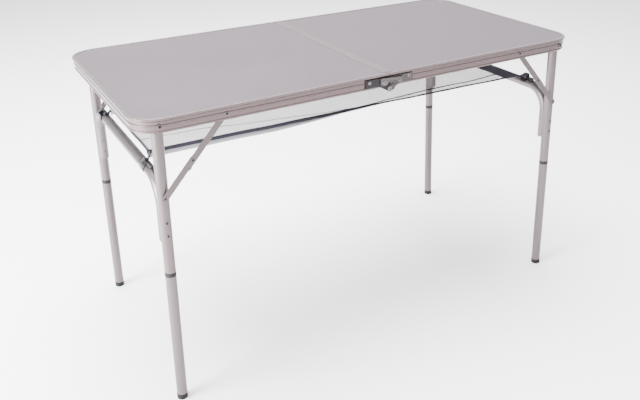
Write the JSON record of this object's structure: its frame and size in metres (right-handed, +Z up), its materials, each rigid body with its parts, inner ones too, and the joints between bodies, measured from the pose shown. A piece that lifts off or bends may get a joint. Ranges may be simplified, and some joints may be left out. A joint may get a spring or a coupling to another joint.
{
  "type": "folding camp table",
  "caption": "Folding camp table: two hinged half tops in a rounded aluminium frame, fold-in leg frames with knee braces, plug-in leg extensions and a storage net.",
  "frame": {"origin": "on the floor, under the middle of the table", "axes": "+X along the table's length to the right-hand end, +Y from the front long side to the back, +Z up"},
  "size_m": [1.2, 0.612, 0.718],
  "materials": {
    "board": "matt light grey coated board",
    "frame_metal": "satin anodised aluminium profile",
    "tube_metal": "satin aluminium tube and strip",
    "hinge_steel": "zinc-plated pressed steel",
    "rivet_steel": "bright rivet",
    "dark_plastic": "dark grey moulded plastic",
    "hook_plastic": "black moulded plastic",
    "net_mesh": "white polyester mesh with dark binding tape"
  },
  "bodies": {
    "root": {"panel_left": "board", "frame_rail_left": "frame_metal", "seam_trim_left": "frame_metal", "leg_pivot_rivets_left": "rivet_steel", "brace_pivot_rivets_left": "rivet_steel", "hinge_plates_left": "hinge_steel", "hinge_plate_rivets_left": "rivet_steel", "hinge_pins": "rivet_steel", "hook_pivot_rivets": "rivet_steel", "storage_net": "net_mesh"},
    "right_half": {"panel_right": "board", "frame_rail_right": "frame_metal", "seam_trim_right": "frame_metal", "leg_pivot_rivets_right": "rivet_steel", "brace_pivot_rivets_right": "rivet_steel", "hinge_plates_right": "hinge_steel", "hinge_plate_rivets_right": "rivet_steel", "latch_studs": "rivet_steel"},
    "latch_front": {"latch_hook_front": "hinge_steel"},
    "latch_rear": {"latch_hook_rear": "hinge_steel"},
    "left_leg_frame": {"leg_tube_left_front": "tube_metal", "leg_tube_left_rear": "tube_metal", "crossbar_left": "tube_metal", "crossbar_rivets_left": "rivet_steel", "brace_bushes_left": "rivet_steel", "leg_top_plugs_left": "dark_plastic", "leg_sockets_left": "dark_plastic", "net_hooks_left": "hook_plastic"},
    "leg_extension_left_front": {"lower_leg_tube_left_front": "tube_metal", "leg_spigot_left_front": "tube_metal", "foot_left_front": "dark_plastic"},
    "brace_upper_left_front": {"brace_upper_left_front": "tube_metal"},
    "brace_lower_left_front": {"brace_lower_left_front": "tube_metal", "brace_rivets_left_front": "rivet_steel"},
    "leg_extension_left_rear": {"lower_leg_tube_left_rear": "tube_metal", "leg_spigot_left_rear": "tube_metal", "foot_left_rear": "dark_plastic"},
    "brace_upper_left_rear": {"brace_upper_left_rear": "tube_metal"},
    "brace_lower_left_rear": {"brace_lower_left_rear": "tube_metal", "brace_rivets_left_rear": "rivet_steel"},
    "right_leg_frame": {"leg_tube_right_front": "tube_metal", "leg_tube_right_rear": "tube_metal", "crossbar_right": "tube_metal", "crossbar_rivets_right": "rivet_steel", "brace_bushes_right": "rivet_steel", "leg_top_plugs_right": "dark_plastic", "leg_sockets_right": "dark_plastic", "net_hooks_right": "hook_plastic"},
    "leg_extension_right_front": {"lower_leg_tube_right_front": "tube_metal", "leg_spigot_right_front": "tube_metal", "foot_right_front": "dark_plastic"},
    "brace_upper_right_front": {"brace_upper_right_front": "tube_metal"},
    "brace_lower_right_front": {"brace_lower_right_front": "tube_metal", "brace_rivets_right_front": "rivet_steel"},
    "leg_extension_right_rear": {"lower_leg_tube_right_rear": "tube_metal", "leg_spigot_right_rear": "tube_metal", "foot_right_rear": "dark_plastic"},
    "brace_upper_right_rear": {"brace_upper_right_rear": "tube_metal"},
    "brace_lower_right_rear": {"brace_lower_right_rear": "tube_metal", "brace_rivets_right_rear": "rivet_steel"}
  },
  "joints": [
    {"name": "centre_fold", "type": "hinge", "parent": "root", "child": "right_half", "pos_m": [0, 0, 0.682], "axis": [0, -1, 0], "range_deg": [-60, 0], "deforming": ["storage_net"]},
    {"name": "latch_front_lift", "type": "hinge", "parent": "root", "child": "latch_front", "pos_m": [-0.015, -0.3032, 0.698], "axis": [0, -1, 0], "range_deg": [0, 75]},
    {"name": "latch_rear_lift", "type": "hinge", "parent": "root", "child": "latch_rear", "pos_m": [-0.015, 0.3032, 0.698], "axis": [0, -1, 0], "range_deg": [0, 75]},
    {"name": "left_legs_fold", "type": "hinge", "parent": "root", "child": "left_leg_frame", "pos_m": [-0.549, 0, 0.701], "axis": [0, -1, 0], "range_deg": [0, 92.5], "deforming": ["storage_net"]},
    {"name": "extension_left_front_pull", "type": "slide", "parent": "left_leg_frame", "child": "leg_extension_left_front", "axis": [0.0442, 0.0114, 0.999], "range_m": [-0.06, 0]},
    {"name": "brace_upper_left_front_swing", "type": "hinge", "parent": "root", "child": "brace_upper_left_front", "pos_m": [-0.406, -0.2948, 0.701], "axis": [0, -1, 0], "range_deg": [0, 133.03]},
    {"name": "brace_lower_left_front_knee", "type": "hinge", "parent": "brace_upper_left_front", "child": "brace_lower_left_front", "pos_m": [-0.48788, -0.293, 0.61223], "axis": [0, -1, 0], "range_deg": [-180.6, 0]},
    {"name": "extension_left_rear_pull", "type": "slide", "parent": "left_leg_frame", "child": "leg_extension_left_rear", "axis": [0.0442, -0.0114, 0.999], "range_m": [-0.06, 0]},
    {"name": "brace_upper_left_rear_swing", "type": "hinge", "parent": "root", "child": "brace_upper_left_rear", "pos_m": [-0.406, 0.2948, 0.701], "axis": [0, -1, 0], "range_deg": [0, 133.03]},
    {"name": "brace_lower_left_rear_knee", "type": "hinge", "parent": "brace_upper_left_rear", "child": "brace_lower_left_rear", "pos_m": [-0.48788, 0.293, 0.61223], "axis": [0, -1, 0], "range_deg": [-180.6, 0]},
    {"name": "right_legs_fold", "type": "hinge", "parent": "right_half", "child": "right_leg_frame", "pos_m": [0.549, 0, 0.701], "axis": [0, 1, 0], "range_deg": [0, 88], "deforming": ["storage_net"]},
    {"name": "extension_right_front_pull", "type": "slide", "parent": "right_leg_frame", "child": "leg_extension_right_front", "axis": [-0.0442, 0.0114, 0.999], "range_m": [-0.06, 0]},
    {"name": "brace_upper_right_front_swing", "type": "hinge", "parent": "right_half", "child": "brace_upper_right_front", "pos_m": [0.406, -0.2948, 0.701], "axis": [0, 1, 0], "range_deg": [0, 127.95]},
    {"name": "brace_lower_right_front_knee", "type": "hinge", "parent": "brace_upper_right_front", "child": "brace_lower_right_front", "pos_m": [0.48788, -0.293, 0.61223], "axis": [0, 1, 0], "range_deg": [-174.33, 0]},
    {"name": "extension_right_rear_pull", "type": "slide", "parent": "right_leg_frame", "child": "leg_extension_right_rear", "axis": [-0.0442, -0.0114, 0.999], "range_m": [-0.06, 0]},
    {"name": "brace_upper_right_rear_swing", "type": "hinge", "parent": "right_half", "child": "brace_upper_right_rear", "pos_m": [0.406, 0.2948, 0.701], "axis": [0, 1, 0], "range_deg": [0, 127.95]},
    {"name": "brace_lower_right_rear_knee", "type": "hinge", "parent": "brace_upper_right_rear", "child": "brace_lower_right_rear", "pos_m": [0.48788, 0.293, 0.61223], "axis": [0, 1, 0], "range_deg": [-174.33, 0]}
  ],
  "couplings": [
    {"joint": "latch_front_lift", "follows": "centre_fold", "ratio": -1.2},
    {"joint": "latch_rear_lift", "follows": "centre_fold", "ratio": -1.2},
    {"joint": "brace_upper_left_front_swing", "follows": "left_legs_fold", "ratio": 1.4317},
    {"joint": "brace_lower_left_front_knee", "follows": "left_legs_fold", "ratio": -1.946},
    {"joint": "brace_upper_left_rear_swing", "follows": "left_legs_fold", "ratio": 1.4317},
    {"joint": "brace_lower_left_rear_knee", "follows": "left_legs_fold", "ratio": -1.946},
    {"joint": "brace_upper_right_front_swing", "follows": "right_legs_fold", "ratio": 1.4472},
    {"joint": "brace_lower_right_front_knee", "follows": "right_legs_fold", "ratio": -1.9742},
    {"joint": "brace_upper_right_rear_swing", "follows": "right_legs_fold", "ratio": 1.4472},
    {"joint": "brace_lower_right_rear_knee", "follows": "right_legs_fold", "ratio": -1.9742}
  ]
}
